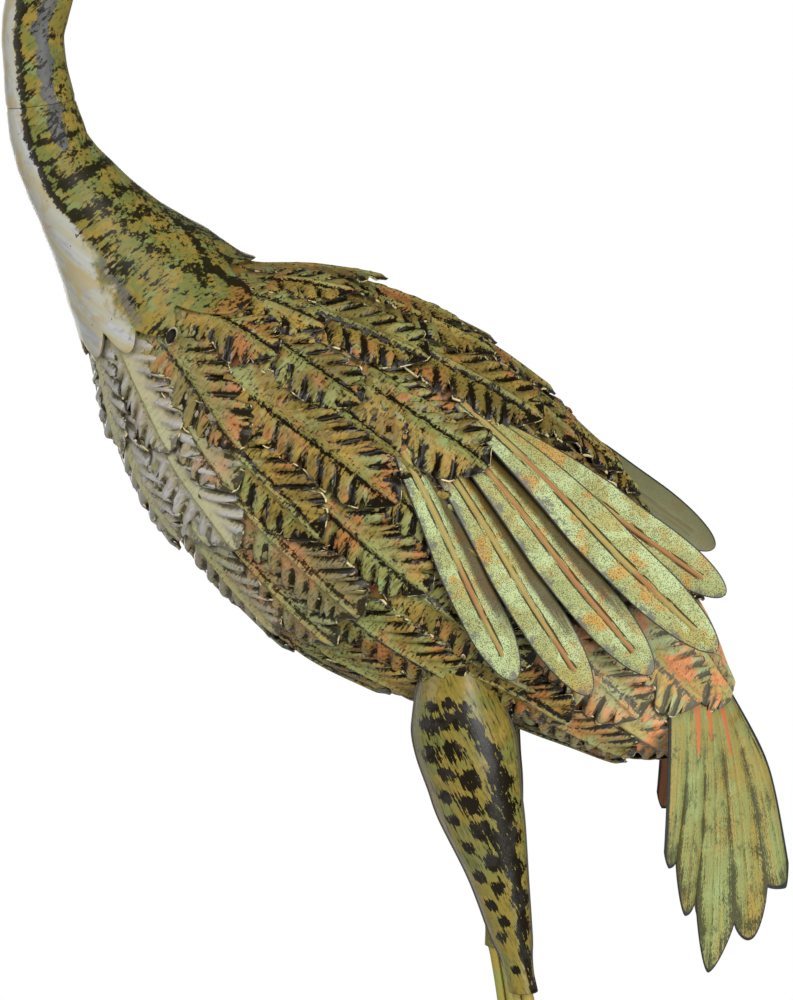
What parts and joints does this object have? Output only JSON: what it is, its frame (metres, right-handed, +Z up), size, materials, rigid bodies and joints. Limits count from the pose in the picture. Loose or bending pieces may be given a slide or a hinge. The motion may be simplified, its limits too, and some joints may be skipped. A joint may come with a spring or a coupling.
{
  "type": "metal heron figure",
  "caption": "Standing heron figure of painted sheet metal with an S-curved neck, overlapping stamped feathers, fanned wing feathers, fluted tail and rod legs on a flat base plate.",
  "frame": {"origin": "centre of the base plate's underside", "axes": "+Z up, the bird faces -X, its left side is at -Y"},
  "size_m": [0.5294, 0.2, 1.061],
  "materials": {
    "feather_paint": "olive and ochre paint with sage and copper patches, black dry-brushed veins, satin",
    "body_paint": "copper and olive paint, satin",
    "neck_paint": "yellow-green paint with black bars and a pale throat, satin",
    "wing_paint": "sage-green speckled paint with orange ribs and dark edges, satin",
    "tail_paint": "sage and yellow paint with grey streaks, rust-brown inside, satin",
    "thigh_paint": "brushed olive-yellow gloss paint with columns of black spots",
    "rod_paint": "olive-yellow gloss paint",
    "beak_paint": "ochre paint darkened towards the tip, satin",
    "eye_gloss": "black gloss enamel",
    "dark_paint": "dark worn paint, satin"
  },
  "bodies": {
    "root": {"base_plate": "dark_paint", "body_shell": "body_paint", "head": "neck_paint", "left_covert_a1": "feather_paint", "left_covert_a2": "feather_paint", "left_covert_a3": "feather_paint", "left_covert_a4": "feather_paint", "left_covert_b1": "feather_paint", "left_covert_b2": "feather_paint", "left_covert_b3": "feather_paint", "left_covert_b4": "feather_paint", "left_covert_b5": "feather_paint", "left_covert_c1": "feather_paint", "left_covert_c2": "feather_paint", "left_covert_c3": "feather_paint", "left_covert_c4": "feather_paint", "left_crest_plume": "dark_paint", "left_eye": "eye_gloss", "left_hind_toe": "rod_paint", "left_leg_rod_inner": "rod_paint", "left_leg_rod_middle": "rod_paint", "left_leg_rod_outer": "rod_paint", "left_primary_1": "wing_paint", "left_primary_2": "wing_paint", "left_primary_3": "wing_paint", "left_primary_4": "wing_paint", "left_primary_5": "wing_paint", "left_tail_fan": "tail_paint", "left_thigh": "thigh_paint", "lower_beak": "beak_paint", "neck_collar": "neck_paint", "right_covert_a1": "feather_paint", "right_covert_a2": "feather_paint", "right_covert_a3": "feather_paint", "right_covert_a4": "feather_paint", "right_covert_b1": "feather_paint", "right_covert_b2": "feather_paint", "right_covert_b3": "feather_paint", "right_covert_b4": "feather_paint", "right_covert_b5": "feather_paint", "right_covert_c1": "feather_paint", "right_covert_c2": "feather_paint", "right_covert_c3": "feather_paint", "right_covert_c4": "feather_paint", "right_crest_plume": "dark_paint", "right_eye": "eye_gloss", "right_hind_toe": "rod_paint", "right_leg_rod_inner": "rod_paint", "right_leg_rod_middle": "rod_paint", "right_leg_rod_outer": "rod_paint", "right_primary_1": "wing_paint", "right_primary_2": "wing_paint", "right_primary_3": "wing_paint", "right_primary_4": "wing_paint", "right_primary_5": "wing_paint", "right_tail_fan": "tail_paint", "right_thigh": "thigh_paint", "upper_beak": "beak_paint", "upper_neck": "neck_paint"}
  },
  "joints": []
}
